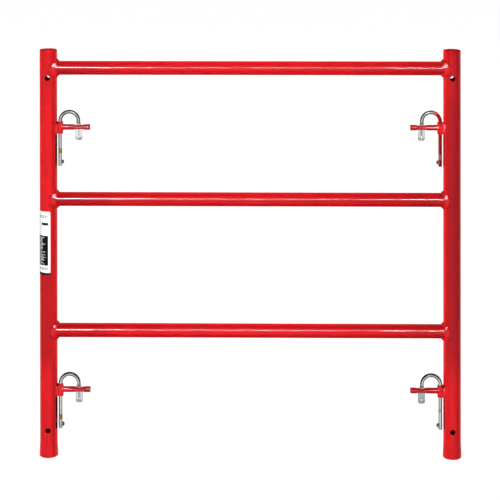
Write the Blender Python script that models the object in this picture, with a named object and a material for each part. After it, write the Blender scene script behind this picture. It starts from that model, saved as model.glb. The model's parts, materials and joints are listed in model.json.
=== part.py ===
"""A steel scaffold end frame: two tube posts, three welded rails, and four brace studs.

Each stud has a slotted waist. A hook made of bent rod slides up and down in a sleeve beside
the post, and its flattened tab drops through the slot to hold a cross brace on the stud.
"""

import math

import bmesh
import bpy
from mathutils import Matrix, Vector

# Driving dimensions, in metres. X runs along the rails, -Y is the front and Z is up.
CLEARANCE = 0.0003  # air between two pieces that touch on the real frame

POST_SPACING = 1.0224  # between the posts' axes
POST_HEIGHT = 1.029
POST_RADIUS = 0.022225
POST_WALL = 0.003175
FOOT_FLARE = 0.0013  # how much wider the foot's radius is
FOOT_FLARE_HEIGHT = 0.045
FOOT_FLARE_MIDDLE = 0.020  # height of the ring between the foot and the plain tube
PIN_HOLE_RADIUS = 0.0065
PIN_HOLE_INSET = 0.0685  # from each end of a post to the hole's axis

RAIL_RADIUS = 0.01745
RAIL_WALL = 0.0021
RAIL_PITCH = 0.333
MIDDLE_RAIL_HEIGHT = 0.650
RAIL_WELD_LEG = 0.0065
WELD_CROWN = 0.12  # how far a ring bead's face stands out, as a share of its depth

UPPER_LOCK_HEIGHT = 0.8329  # of the brace stud's axis
LOWER_LOCK_HEIGHT = 0.1667

SLEEVE_RADIUS = 0.0074
SLEEVE_BORE = 0.0053
SLEEVE_LENGTH = 0.030
SLEEVE_DROP = 0.0015  # of the sleeve's middle below the stud's axis
SLEEVE_WELD_ON_POST = (11.0, 32.0)  # degrees around the post, from the bead's root to its toe
SLEEVE_WELD_ON_SLEEVE = (30.0, 68.0)  # degrees around the sleeve, from root to toe
SLEEVE_WELD_HALF_LENGTH = 0.0145
SLEEVE_WELD_TAPER = 0.0017  # length of the narrowing at each end
SLEEVE_WELD_FULLNESS = {"end": 0.45, "shoulder": 0.9, "middle": 1.0}  # share of the bead's width

STUD_RADIUS = 0.00715
STUD_REACH = 0.0835  # from the post's surface to the stud's end
STUD_CHAMFER = 0.0008
STUD_WELD_LEG = 0.0018
WAIST_HALF_HEIGHT = 0.00515
WAIST_HALF_WIDTH = 0.0091
WAIST_SQUARENESS = 2.5
WAIST_INNER = (-0.0155, -0.0065)  # from the tab's axis: where the flattening starts and is full
WAIST_OUTER = (0.0080, 0.0155)  # from the tab's axis: where it ends and the stud is round again
SLOT_LENGTH = 0.020
SLOT_WIDTH = 0.005

ROD_RADIUS = 0.00475
ROD_END_ROUNDING = 0.0014
LEG_DEPTH = 0.0984  # from the stud's axis down to the end of the long leg
BEND_RADIUS = 0.0232
BEND_HEIGHT = 0.0158  # of the bend's centre above the stud's axis
TAB_WIDTH = 0.018
TAB_THICKNESS = 0.004
TAB_DEPTH = 0.0326  # from the stud's axis down to the tab's end
TAB_OFFSET = 0.0012  # how far the tab sits outside the short leg's axis
TAB_CORNER = 0.005
TAB_SQUARENESS = 6.0
PRESSED_FROM, PRESSED_BY = 0.0138, 0.0052  # heights where the rod starts to flatten and is flat
SPREAD_FROM, SPREAD_BY = 0.0128, -0.0030  # heights where the tab starts to widen and is full
TAB_HOLE_RADIUS = 0.0025
TAB_HOLE_INSET = 0.0088
STOP_TOP = 0.0835  # below the stud's axis
STOP_HEIGHT = 0.009
STOP_THICKNESS = 0.0026
STOP_RIM = 0.0004  # thickness left at the button's edge
STOP_HALF_ANGLE = 62.0  # degrees each way around the rod
STOP_ROUNDNESS = 0.93  # 1 would bring the button's top and bottom to a point
STOP_EDGE_ANGLE = 80.0  # degrees of the cosine that thins the button towards its sides

LABEL_BOTTOM = 0.463
LABEL_HEIGHT = 0.160
LABEL_THICKNESS = 0.00025
LABEL_HALF_ANGLE = 108.6  # degrees each way from the post's outer side

# How many facets stand in for each full circle, or for the arc named.
POST_FACETS = 44
PIN_HOLE_FACETS = 20
RAIL_FACETS = 36
COPE_FACETS = 64
RAIL_WELD_FACETS = 24
SLEEVE_FACETS = 24
STUD_FACETS = 20
STUD_WELD_FACETS = 18
ROD_FACETS = 12
BEND_FACETS = 12  # along the half circle of the bend
TAB_HOLE_FACETS = 16
LABEL_FACETS = 36  # along the label's arc
SHARP_ANGLE = math.radians(32)  # a steeper edge than this is not shaded smooth

# Derived places.
POST_X = POST_SPACING / 2
SLEEVE_OFFSET = POST_RADIUS + CLEARANCE + SLEEVE_RADIUS  # sleeve axis from post axis
STUD_END = STUD_REACH - CLEARANCE - SLEEVE_RADIUS  # from the sleeve's axis
TAB_X = 2 * BEND_RADIUS + TAB_OFFSET  # from the sleeve's axis

FINISHES = {
    "red_enamel": {"colour": (0.80, 0.012, 0.018, 1.0), "roughness": 0.22, "metallic": 0.0},
    "zinc_plate": {"colour": (0.62, 0.62, 0.60, 1.0), "roughness": 0.30, "metallic": 1.0},
    "white_vinyl": {"colour": (0.86, 0.86, 0.85, 1.0), "roughness": 0.35, "metallic": 0.0},
}


def clear_scene():
    for ob in list(bpy.data.objects):
        bpy.data.objects.remove(ob)


def smoothstep(value, start, end):
    """0 before start, 1 after end, and an S curve between them."""
    share = min(max((value - start) / (end - start), 0.0), 1.0)
    return share * share * (3 - 2 * share)


def blend(first, second, share):
    return first + (second - first) * share


def finish_for(name, finish):
    values = FINISHES[finish]
    material = bpy.data.materials.new(f"{name}_{finish}")
    material.use_nodes = True
    shader = material.node_tree.nodes["Principled BSDF"]
    shader.inputs["Base Color"].default_value = values["colour"]
    shader.inputs["Roughness"].default_value = values["roughness"]
    shader.inputs["Metallic"].default_value = values["metallic"]
    material.diffuse_color = values["colour"]
    return material


def place(name, mesh, finish, parent=None, location=(0, 0, 0)):
    """Add one named sub-part with its own material, on its own or under a parent."""
    ob = bpy.data.objects.new(name, mesh)
    bpy.context.scene.collection.objects.link(ob)
    if not mesh.materials:
        mesh.materials.append(None)
    ob.material_slots[0].link = "OBJECT"
    ob.material_slots[0].material = finish_for(name, finish)
    ob.parent = parent
    ob.location = location
    return ob


def finished_mesh(name, bm):
    """Turn a bmesh into a mesh with outward faces, smooth where it is round."""
    bmesh.ops.recalc_face_normals(bm, faces=bm.faces)
    mesh = bpy.data.meshes.new(name)
    bm.to_mesh(mesh)
    bm.free()
    mesh.shade_smooth()
    mesh.set_sharp_from_angle(angle=SHARP_ANGLE)
    return mesh


def skin(name, rings, looped=False):
    """Mesh over a row of equal point rings: closed on itself when looped, else capped."""
    bm = bmesh.new()
    rows = [[bm.verts.new(point) for point in ring] for ring in rings]
    pairs = list(zip(rows, rows[1:]))
    if looped:
        pairs.append((rows[-1], rows[0]))
    else:
        bm.faces.new(rows[0])
        bm.faces.new(rows[-1])
    for near, far in pairs:
        for i, corner in enumerate(near):
            after = (i + 1) % len(near)
            bm.faces.new((corner, near[after], far[after], far[i]))
    return finished_mesh(name, bm)


def turned(name, profile, facets):
    """Spin a closed profile of (radius, height) points about Z, with a facet facing each way."""
    bm = bmesh.new()
    start = math.pi / facets
    corners = []
    for radius, height in profile:
        corners.append(bm.verts.new((radius * math.cos(start), radius * math.sin(start), height)))
    edges = [bm.edges.new((a, b)) for a, b in zip(corners, corners[1:] + corners[:1])]
    bmesh.ops.spin(
        bm,
        geom=corners + edges,
        cent=(0, 0, 0),
        axis=(0, 0, 1),
        dvec=(0, 0, 0),
        angle=math.tau,
        steps=facets,
        use_merge=True,
    )
    return finished_mesh(name, bm)


def pipe_profile(outer, inner, length):
    """The four corners of a plain pipe's wall, for turned()."""
    half = length / 2
    return [(outer, -half), (outer, half), (inner, half), (inner, -half)]


def cylinder_cutter(radius, length, facets, matrix):
    bm = bmesh.new()
    bmesh.ops.create_cone(
        bm,
        cap_ends=True,
        segments=facets,
        radius1=radius,
        radius2=radius,
        depth=length,
        matrix=matrix,
    )
    return finished_mesh("cutter", bm)


def box_cutter(size, centre):
    bm = bmesh.new()
    place_and_size = Matrix.Translation(centre) @ Matrix.Diagonal((*size, 1))
    bmesh.ops.create_cube(bm, size=1.0, matrix=place_and_size)
    return finished_mesh("cutter", bm)


def cut(mesh, cutters):
    """Take the cutters out of a mesh with exact Booleans and return what is left."""
    work = bpy.data.objects.new("work", mesh)
    bpy.context.scene.collection.objects.link(work)
    tools = []
    for cutter in cutters:
        tool = bpy.data.objects.new("cutter", cutter)
        tool.hide_render = True
        tool.display_type = "WIRE"
        bpy.context.scene.collection.objects.link(tool)
        tools.append(tool)
        boolean = work.modifiers.new("cut", "BOOLEAN")
        boolean.operation = "DIFFERENCE"
        boolean.solver = "EXACT"
        boolean.object = tool
    graph = bpy.context.evaluated_depsgraph_get()
    result = bpy.data.meshes.new_from_object(work.evaluated_get(graph))
    for ob in [work, *tools]:
        bpy.data.objects.remove(ob)
    result.name = mesh.name
    result.shade_smooth()
    result.set_sharp_from_angle(angle=SHARP_ANGLE)
    return result


def post_mesh():
    """An open tube with a flared foot and a pin hole through both walls near each end."""
    rings = []
    for height in (0.0, FOOT_FLARE_MIDDLE, FOOT_FLARE_HEIGHT, POST_HEIGHT):
        flare = FOOT_FLARE * (1 - smoothstep(height, 0, FOOT_FLARE_HEIGHT))
        rings.append((POST_RADIUS + flare, height))
    bore = [(radius - POST_WALL, height) for radius, height in reversed(rings)]
    tube = turned("post", rings + bore, POST_FACETS)
    holes = []
    for height in (PIN_HOLE_INSET, POST_HEIGHT - PIN_HOLE_INSET):
        across = Matrix.Translation((0, 0, height)) @ Matrix.Rotation(math.pi / 2, 4, "X")
        holes.append(cylinder_cutter(PIN_HOLE_RADIUS, 4 * POST_RADIUS, PIN_HOLE_FACETS, across))
    return cut(tube, holes)


def rail_mesh():
    """An open tube along X whose ends are coped to the posts."""
    tube = turned("rail", pipe_profile(RAIL_RADIUS, RAIL_RADIUS - RAIL_WALL, POST_SPACING), RAIL_FACETS)
    tube.transform(Matrix.Rotation(math.pi / 2, 4, "Y"))
    copes = []
    for side in (-1, 1):
        upright = Matrix.Translation((side * POST_X, 0, 0))
        copes.append(cylinder_cutter(POST_RADIUS + CLEARANCE, 4 * RAIL_RADIUS, COPE_FACETS, upright))
    return cut(tube, copes)


def saddle_weld_mesh(name, main_radius, branch_radius, leg, facets):
    """A fillet ring where a branch along +X meets an upright round piece centred on Z.

    Both toes lie a clearance outside the pieces: one follows the upright's surface away from
    the branch, the other follows the branch along X.
    """
    outer = main_radius + CLEARANCE
    branch = branch_radius + CLEARANCE
    rings = []
    for step in range(facets):
        turn = math.tau * step / facets
        side, rise = math.cos(turn), math.sin(turn)
        root_angle = math.asin(branch * side / outer)

        def on_upright(reach):
            angle = root_angle + reach * side / outer
            height = (branch + reach) * rise
            return Vector((outer * math.cos(angle), outer * math.sin(angle), height))

        root = on_upright(0.0)
        toe = on_upright(leg)
        branch_toe = root + Vector((leg, 0, 0))
        crown = (toe + branch_toe) / 2
        crown += (crown - root) * WELD_CROWN
        rings.append([root, on_upright(leg / 2), toe, crown, branch_toe])
    return skin(name, rings, looped=True)


def sleeve_mesh():
    return turned("sleeve", pipe_profile(SLEEVE_RADIUS, SLEEVE_BORE, SLEEVE_LENGTH), SLEEVE_FACETS)


def sleeve_weld_mesh():
    """The bead in the groove between the post and the sleeve, on the sleeve's -Y side.

    The sleeve's axis is Z, and the post stands beside it at -X.
    """

    def on_post(degrees):
        turn = math.radians(degrees)
        out = POST_RADIUS + CLEARANCE
        return (out * math.cos(turn) - SLEEVE_OFFSET, -out * math.sin(turn))

    def on_sleeve(degrees):
        turn = math.radians(degrees)
        out = SLEEVE_RADIUS + CLEARANCE
        return (-out * math.cos(turn), -out * math.sin(turn))

    full = SLEEVE_WELD_HALF_LENGTH - SLEEVE_WELD_TAPER
    post_root, post_reach = SLEEVE_WELD_ON_POST
    sleeve_root, sleeve_reach = SLEEVE_WELD_ON_SLEEVE
    rings = []
    places = (
        (-SLEEVE_WELD_HALF_LENGTH, "end"),
        (-full, "shoulder"),
        (0, "middle"),
        (full, "shoulder"),
        (SLEEVE_WELD_HALF_LENGTH, "end"),
    )
    for height, part in places:
        share = SLEEVE_WELD_FULLNESS[part]
        post_toe = blend(post_root, post_reach, share)
        sleeve_toe = blend(sleeve_root, sleeve_reach, share)
        outline = [on_post(turn) for turn in (post_root, (post_root + post_toe) / 2, post_toe)]
        outline += [on_sleeve(turn) for turn in (sleeve_toe, (sleeve_root + sleeve_toe) / 2, sleeve_root)]
        rings.append([(x, y, height) for x, y in outline])
    return skin("sleeve_weld", rings)


def oval(half_wide, half_high, squareness, facets):
    """Points of a superellipse: squareness 2 is an ellipse, more is closer to a rectangle."""
    points = []
    for step in range(facets):
        turn = math.tau * (step + 0.5) / facets
        cosine, sine = math.cos(turn), math.sin(turn)
        across = math.copysign(abs(cosine) ** (2 / squareness), cosine) * half_wide
        up = math.copysign(abs(sine) ** (2 / squareness), sine) * half_high
        points.append((across, up))
    return points


def stud_mesh():
    """The brace stud along +X from the sleeve, flattened and slotted where the tab drops in."""
    inner_start, inner_full = (TAB_X + offset for offset in WAIST_INNER)
    outer_full, outer_end = (TAB_X + offset for offset in WAIST_OUTER)
    thirds = (0.33, 0.67, 1.0)
    stations = [SLEEVE_RADIUS / 2, inner_start]
    stations += [blend(inner_start, inner_full, share) for share in thirds]
    stations += [outer_full]
    stations += [blend(outer_full, outer_end, share) for share in thirds]
    stations += [STUD_END - STUD_CHAMFER, STUD_END]
    rings = []
    for x in stations:
        flatness = smoothstep(x, inner_start, inner_full) - smoothstep(x, outer_full, outer_end)
        chamfer = STUD_CHAMFER if x == STUD_END else 0.0
        half_high = blend(STUD_RADIUS, WAIST_HALF_HEIGHT, flatness) - chamfer
        half_wide = blend(STUD_RADIUS, WAIST_HALF_WIDTH, flatness) - chamfer
        outline = oval(half_wide, half_high, blend(2.0, WAIST_SQUARENESS, flatness), STUD_FACETS)
        rings.append([(x, across, up) for across, up in outline])
    body = skin("stud", rings)
    through = 6 * STUD_RADIUS
    cope = cylinder_cutter(SLEEVE_RADIUS + CLEARANCE, through, COPE_FACETS // 2, Matrix.Identity(4))
    slot = box_cutter((SLOT_LENGTH, SLOT_WIDTH, through), (TAB_X, 0, 0))
    return cut(body, [cope, slot])


def rod_stations():
    """The long leg and the half-circle bend, as (x, z, heading, half width, half thickness, squareness).

    The heading is the angle of the rod's direction from straight up, towards +X.
    """
    round_rod = (ROD_RADIUS, ROD_RADIUS, 2.0)
    blunt = (ROD_RADIUS - ROD_END_ROUNDING, ROD_RADIUS - ROD_END_ROUNDING, 2.0)
    stations = [(0, -LEG_DEPTH, 0, *blunt), (0, -LEG_DEPTH + ROD_END_ROUNDING, 0, *round_rod)]
    for step in range(BEND_FACETS + 1):
        turn = math.pi * step / BEND_FACETS
        x = BEND_RADIUS * (1 - math.cos(turn))
        z = BEND_HEIGHT + BEND_RADIUS * math.sin(turn)
        stations.append((x, z, turn, *round_rod))
    return stations


def tab_stations():
    """The short leg pressed flat into the tab, with round lower corners, in the same form."""
    stations = []
    for z in (0.0115, 0.0090, 0.0070, 0.0054, 0.0020, SPREAD_BY):
        pressed = 1 - smoothstep(z, PRESSED_BY, PRESSED_FROM)
        spread = 1 - smoothstep(z, SPREAD_BY, SPREAD_FROM)
        half_wide = blend(ROD_RADIUS, TAB_WIDTH / 2, spread)
        half_thick = blend(ROD_RADIUS, TAB_THICKNESS / 2, pressed)
        x = 2 * BEND_RADIUS + TAB_OFFSET * spread
        stations.append((x, z, math.pi, half_wide, half_thick, blend(2.0, TAB_SQUARENESS, pressed)))
    for share in (0.0, 0.4, 0.75, 0.95):
        drop = TAB_CORNER * share
        inset = TAB_CORNER - math.sqrt(TAB_CORNER**2 - drop**2)
        z = -TAB_DEPTH + TAB_CORNER - drop
        stations.append((TAB_X, z, math.pi, TAB_WIDTH / 2 - inset, TAB_THICKNESS / 2, TAB_SQUARENESS))
    return stations


def hook_mesh():
    """Bent rod: long leg down the sleeve, half-circle bend, short leg pressed to a flat tab."""
    rings = []
    for x, z, heading, half_wide, half_thick, squareness in rod_stations() + tab_stations():
        across = Vector((math.cos(heading), 0, -math.sin(heading)))
        centre = Vector((x, 0, z))
        outline = oval(half_wide, half_thick, squareness, ROD_FACETS)
        rings.append([centre + across * u + Vector((0, v, 0)) for u, v in outline])
    body = skin("hook", rings)
    hole_place = Matrix.Translation((TAB_X, 0, -TAB_DEPTH + TAB_HOLE_INSET))
    hole_turn = Matrix.Rotation(math.pi / 2, 4, "X")
    hole = cylinder_cutter(TAB_HOLE_RADIUS, 4 * TAB_THICKNESS, TAB_HOLE_FACETS, hole_place @ hole_turn)
    return cut(body, [hole])


def hook_stop_mesh():
    """A weld button on the +X side of the long leg, hollowed to sit around the rod."""
    inner = ROD_RADIUS + CLEARANCE
    arc = [math.radians(STOP_HALF_ANGLE) * share for share in (-1, -0.5, 0, 0.5, 1)]
    middle = -STOP_TOP - STOP_HEIGHT / 2
    rings = []
    for level in (-1.0, -0.6, 0.0, 0.6, 1.0):
        fullness = math.sqrt(1 - (STOP_ROUNDNESS * level) ** 2)
        height = middle + level * STOP_HEIGHT / 2
        points = [(inner, turn) for turn in arc]
        for turn in reversed(arc):
            bulge = math.cos(math.radians(STOP_EDGE_ANGLE) * turn / arc[-1])
            points.append((inner + STOP_RIM + STOP_THICKNESS * bulge * fullness, turn))
        rings.append([(out * math.cos(turn), out * math.sin(turn), height) for out, turn in points])
    return skin("hook_stop", rings)


def label_mesh():
    """A thin curved sheet centred on the -X side of a post."""
    inner = POST_RADIUS + CLEARANCE
    outer = inner + LABEL_THICKNESS
    rings = []
    for step in range(LABEL_FACETS + 1):
        turn = math.pi + math.radians(LABEL_HALF_ANGLE) * (2 * step / LABEL_FACETS - 1)
        out = Vector((math.cos(turn), math.sin(turn), 0))
        low = Vector((0, 0, LABEL_BOTTOM))
        high = Vector((0, 0, LABEL_BOTTOM + LABEL_HEIGHT))
        rings.append([out * inner + low, out * outer + low, out * outer + high, out * inner + high])
    return skin("label", rings)


def build_welded_frame():
    post = post_mesh()
    for name, x in (("left_post", -POST_X), ("right_post", POST_X)):
        place(name, post, "red_enamel", location=(x, 0, 0))
    rail = rail_mesh()
    weld = saddle_weld_mesh("rail_weld", POST_RADIUS, RAIL_RADIUS, RAIL_WELD_LEG, RAIL_WELD_FACETS)
    for level, name in ((1, "top_rail"), (0, "middle_rail"), (-1, "bottom_rail")):
        height = MIDDLE_RAIL_HEIGHT + level * RAIL_PITCH
        place(name, rail, "red_enamel", location=(0, 0, height))
        place(f"{name}_weld_left", weld, "red_enamel", location=(-POST_X, 0, height))
        right = place(f"{name}_weld_right", weld, "red_enamel", location=(POST_X, 0, height))
        right.rotation_euler.z = math.pi
    place("label", label_mesh(), "white_vinyl", location=(-POST_X, 0, 0))


def build_locks():
    """Four locks, each under an empty on its hook's slide axis, level with its stud."""
    sleeve = sleeve_mesh()
    sleeve_weld = sleeve_weld_mesh()
    sleeve_weld_behind = sleeve_weld.copy()
    sleeve_weld_behind.transform(Matrix.Diagonal((1, -1, 1, 1)))
    sleeve_weld_behind.flip_normals()
    stud = stud_mesh()
    stud_weld = saddle_weld_mesh("stud_weld", SLEEVE_RADIUS, STUD_RADIUS, STUD_WELD_LEG, STUD_WELD_FACETS)
    hook = hook_mesh()
    stop = hook_stop_mesh()
    for level, height in (("upper", UPPER_LOCK_HEIGHT), ("lower", LOWER_LOCK_HEIGHT)):
        for side, direction in (("left", 1), ("right", -1)):
            name = f"{level}_{side}"
            axis = bpy.data.objects.new(f"{name}_lock_axis", None)
            bpy.context.scene.collection.objects.link(axis)
            axis.location = (direction * (SLEEVE_OFFSET - POST_X), 0, height)
            if side == "right":
                axis.rotation_euler.z = math.pi
            near, far = ("front", "back") if side == "left" else ("back", "front")
            low = (0, 0, -SLEEVE_DROP)
            place(f"{name}_sleeve", sleeve, "red_enamel", axis, low)
            place(f"{name}_sleeve_weld_{near}", sleeve_weld, "red_enamel", axis, low)
            place(f"{name}_sleeve_weld_{far}", sleeve_weld_behind, "red_enamel", axis, low)
            place(f"{name}_stud", stud, "red_enamel", axis)
            place(f"{name}_stud_weld", stud_weld, "red_enamel", axis)
            moving = place(f"{name}_hook", hook, "zinc_plate", axis)
            place(f"{name}_hook_stop", stop, "zinc_plate", moving)


clear_scene()
build_welded_frame()
build_locks()
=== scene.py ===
import json
import math

import bmesh
import bpy
from mathutils import Matrix, Vector, noise

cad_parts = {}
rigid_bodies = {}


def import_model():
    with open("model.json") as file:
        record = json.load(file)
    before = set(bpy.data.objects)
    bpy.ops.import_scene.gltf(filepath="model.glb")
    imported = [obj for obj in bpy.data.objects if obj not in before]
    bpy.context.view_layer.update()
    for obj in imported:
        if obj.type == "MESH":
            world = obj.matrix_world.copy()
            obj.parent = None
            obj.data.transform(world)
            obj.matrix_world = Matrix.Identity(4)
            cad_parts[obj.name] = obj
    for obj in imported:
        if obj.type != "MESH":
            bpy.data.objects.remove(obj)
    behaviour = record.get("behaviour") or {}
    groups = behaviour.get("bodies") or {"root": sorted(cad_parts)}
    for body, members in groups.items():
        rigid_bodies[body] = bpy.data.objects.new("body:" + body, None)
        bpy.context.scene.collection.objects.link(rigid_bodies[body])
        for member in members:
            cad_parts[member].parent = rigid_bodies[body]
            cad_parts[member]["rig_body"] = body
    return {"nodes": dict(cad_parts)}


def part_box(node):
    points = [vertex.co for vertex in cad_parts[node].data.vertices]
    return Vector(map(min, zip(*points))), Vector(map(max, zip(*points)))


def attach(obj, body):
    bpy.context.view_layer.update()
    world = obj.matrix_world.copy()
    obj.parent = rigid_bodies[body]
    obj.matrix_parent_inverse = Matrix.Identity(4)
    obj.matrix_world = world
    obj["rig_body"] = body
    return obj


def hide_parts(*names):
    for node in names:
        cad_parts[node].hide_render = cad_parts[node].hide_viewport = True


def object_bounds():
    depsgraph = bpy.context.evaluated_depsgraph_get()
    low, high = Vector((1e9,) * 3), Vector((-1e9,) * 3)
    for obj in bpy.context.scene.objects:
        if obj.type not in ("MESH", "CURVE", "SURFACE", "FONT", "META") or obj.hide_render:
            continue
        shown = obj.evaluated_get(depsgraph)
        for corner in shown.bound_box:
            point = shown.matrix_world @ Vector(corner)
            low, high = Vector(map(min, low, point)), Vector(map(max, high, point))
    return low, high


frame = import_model()
CAD_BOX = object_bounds()

# Sizes that the frame's boxes don't give, in metres. X runs along the rails and -Y is the front.
# Heights on a hook or a stud are above the stud's axis.
EMBED = 0.00025  # how far welds and coped ends sink into what they are welded to
POST_WALL = 0.003175
FOOT_FLARE = 0.0013
FOOT_FLARE_HEIGHT = 0.045
PIN_HOLE_RADIUS = 0.0065
PIN_HOLE_INSET = 0.0685
PIN_HOLE_LIP = 0.0007
PIN_HOLE_FLARE = ((0.0, 0.0009), (0.25, 0.0003), (1.0, -0.0001))  # share of the lip at each depth
RIM_ROUNDING = 0.0006
RAIL_WALL = 0.0021
DRIP_LENGTH = 0.0032  # of a run of paint under a rail, along it
DRIP_WIDTH = 0.0030
DRIP_HANG = 0.0017
RAIL_WELD_LEG = 0.0065
SLEEVE_BORE = 0.0053
SLEEVE_ROUNDING = 0.0011
SLEEVE_WELD_ON_POST = (8, 33)  # degrees around the post, from the bead's root to its toe
SLEEVE_WELD_ON_SLEEVE = (26, 70)  # degrees around the sleeve, from root to toe
STUD_WELD_LEG = 0.0018
STUD_CHAMFER = 0.0009
WAIST_HALF_HEIGHT = 0.00515
WAIST_HALF_WIDTH = 0.0091
WAIST_SQUARENESS = 2.5
WAIST_INNER = (-0.0155, -0.0065)  # from the tab's axis: where the flattening starts and is full
WAIST_OUTER = (0.0080, 0.0155)  # from the tab's axis: where it ends and the stud is round again
SLOT_LENGTH = 0.020
SLOT_WIDTH = 0.005
ROD_RADIUS = 0.00475
ROD_END_ROUNDING = 0.0014
PRESSED_FROM, PRESSED_BY = 0.0138, 0.0052  # heights where the rod starts to flatten and is flat
SPREAD_FROM, SPREAD_BY = 0.0128, -0.0030  # heights where the tab starts to widen and is full
TAB_THICKNESS = 0.004
TAB_WIDTH = 0.018
TAB_DEPTH = 0.0326
TAB_OFFSET = 0.0012
TAB_CORNER = 0.005
TAB_SQUARENESS = 6.0
TAB_HOLE_RADIUS = 0.0025
TAB_HOLE_MOUTH = 0.0036
TAB_HOLE_INSET = 0.0088
STOP_HALF_ANGLE = 62  # degrees each way around the rod
LABEL_THICKNESS = 0.00025
LABEL_CORNER = 0.004
RIPPLE_PITCH = 0.0031  # between the ripples of a weld bead
SHARP_ANGLE = math.radians(35)  # a steeper edge than this is not shaded smooth

# Places and sizes read from the frame.
LEFT_POST_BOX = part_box("left_post")
POST_X = -(LEFT_POST_BOX[0].x + LEFT_POST_BOX[1].x) / 2
POST_RADIUS = (LEFT_POST_BOX[1].x - LEFT_POST_BOX[0].x) / 2 - FOOT_FLARE
POST_TOP = LEFT_POST_BOX[1].z
RAIL_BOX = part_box("top_rail")
RAIL_RADIUS = (RAIL_BOX[1].z - RAIL_BOX[0].z) / 2
SLEEVE_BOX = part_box("upper_left_sleeve")
SLEEVE_RADIUS = (SLEEVE_BOX[1].x - SLEEVE_BOX[0].x) / 2
SLEEVE_HALF_LENGTH = (SLEEVE_BOX[1].z - SLEEVE_BOX[0].z) / 2
SLEEVE_X = (SLEEVE_BOX[0].x + SLEEVE_BOX[1].x) / 2
SLEEVE_OFFSET = SLEEVE_X + POST_X
STUD_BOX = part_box("upper_left_stud")
STUD_RADIUS = (STUD_BOX[1].z - STUD_BOX[0].z) / 2
STUD_Z = (STUD_BOX[0].z + STUD_BOX[1].z) / 2
STUD_END = STUD_BOX[1].x - SLEEVE_X
HOOK_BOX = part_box("upper_left_hook")
LEG_DEPTH = STUD_Z - HOOK_BOX[0].z
TAB_X = HOOK_BOX[1].x - TAB_WIDTH / 2 - SLEEVE_X
BEND_RADIUS = (TAB_X - TAB_OFFSET) / 2
BEND_HEIGHT = HOOK_BOX[1].z - STUD_Z - ROD_RADIUS - BEND_RADIUS
STOP_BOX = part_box("upper_left_hook_stop")
LABEL_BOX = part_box("label")


# ---------------------------------------------------------------- shapes

def middle_of(node):
    low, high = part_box(node)
    return (low + high) / 2


def smoothstep(value, start, end):
    share = min(max((value - start) / (end - start), 0.0), 1.0)
    return share * share * (3 - 2 * share)


def blend(first, second, share):
    return first + (second - first) * share


def spread(start, end, count):
    """count + 1 evenly spaced values from start to end."""
    return [blend(start, end, step / count) for step in range(count + 1)]


def uneven(point, size, depth):
    """A smooth hand-made unevenness of the given feature size."""
    return depth * noise.noise(Vector(point) / size)


def circle(radius, facets):
    turns = [math.tau * (step + 0.5) / facets for step in range(facets)]
    return [(radius * math.cos(turn), radius * math.sin(turn)) for turn in turns]


def oval(half_wide, half_high, squareness, facets):
    """Points of a superellipse: squareness 2 is an ellipse, more is closer to a rectangle."""
    power = 2 / squareness
    points = []
    for cosine, sine in circle(1.0, facets):
        across = math.copysign(abs(cosine) ** power, cosine) * half_wide
        up = math.copysign(abs(sine) ** power, sine) * half_high
        points.append((across, up))
    return points


def skin(rings, looped=False):
    """A bmesh over a row of equal point rings: closed on itself when looped, else capped."""
    bm = bmesh.new()
    rows = [[bm.verts.new(point) for point in ring] for ring in rings]
    pairs = list(zip(rows, rows[1:]))
    if looped:
        pairs.append((rows[-1], rows[0]))
    else:
        bm.faces.new(rows[0])
        bm.faces.new(rows[-1])
    for near, far in pairs:
        for i, corner in enumerate(near):
            after = (i + 1) % len(near)
            bm.faces.new((corner, near[after], far[after], far[i]))
    return bm


def turned(profile, facets):
    """A bmesh spun about Z from a closed profile of (radius, height) points."""
    return skin([[(x, y, height) for x, y in circle(radius, facets)] for radius, height in profile], True)


def pipe_profile(outer, inner, low, high, rounding):
    """Corner points of a pipe's wall with rounded rims, up the outside and down the bore.

    outer is a function of height, so that the pipe can flare; the bore keeps its distance to it.
    """
    turns = spread(0.0, math.pi / 2, 4)
    insets = [(rounding * (1 - math.cos(turn)), rounding * (1 - math.sin(turn))) for turn in turns]
    wall = outer(low) - inner
    foot = spread(low + rounding, min(high, low + FOOT_FLARE_HEIGHT), 8)
    heights = foot[1:] + spread(foot[-1], high - rounding, 8)[1:-1]
    corners = [(outer(low) - aside, low + up) for aside, up in reversed(insets)]
    corners += [(outer(height), height) for height in heights]
    corners += [(outer(high) - aside, high - down) for aside, down in insets]
    corners += [(outer(high) - wall + aside, high - down) for aside, down in reversed(insets)]
    corners += [(outer(height) - wall, height) for height in reversed(heights)]
    corners += [(outer(low) - wall + aside, low + up) for aside, up in insets]
    return corners


def finished_mesh(name, bm):
    """A mesh of the bmesh, which is used up, with its faces pointing out."""
    bmesh.ops.recalc_face_normals(bm, faces=bm.faces)
    mesh = bpy.data.meshes.new(name)
    bm.to_mesh(mesh)
    bm.free()
    return mesh


def add_object(name, data):
    ob = bpy.data.objects.new(name, data)
    bpy.context.scene.collection.objects.link(ob)
    return ob


def cut(bm, cutters):
    """The bmesh with the cutters taken out of it by exact Booleans."""
    objects = [add_object("work", finished_mesh("work", shape)) for shape in [bm, *cutters]]
    for cutter in objects[1:]:
        boolean = objects[0].modifiers.new("cut", "BOOLEAN")
        boolean.solver = "EXACT"
        boolean.object = cutter
    graph = bpy.context.evaluated_depsgraph_get()
    result = bmesh.new()
    result.from_mesh(objects[0].evaluated_get(graph).to_mesh())
    for ob in objects:
        bpy.data.objects.remove(ob)
    return result


def add_piece(node, bm, material, matrix=Matrix.Identity(4)):
    """Show the shape in place of one CAD node, on that node's body."""
    bm.transform(matrix)
    mesh = finished_mesh(f"{node}_fine", bm)
    mesh.shade_smooth()
    mesh.set_sharp_from_angle(angle=SHARP_ANGLE)
    mesh.materials.append(material)
    ob = add_object(mesh.name, mesh)
    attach(ob, frame["nodes"][node]["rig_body"])
    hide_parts(node)


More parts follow.
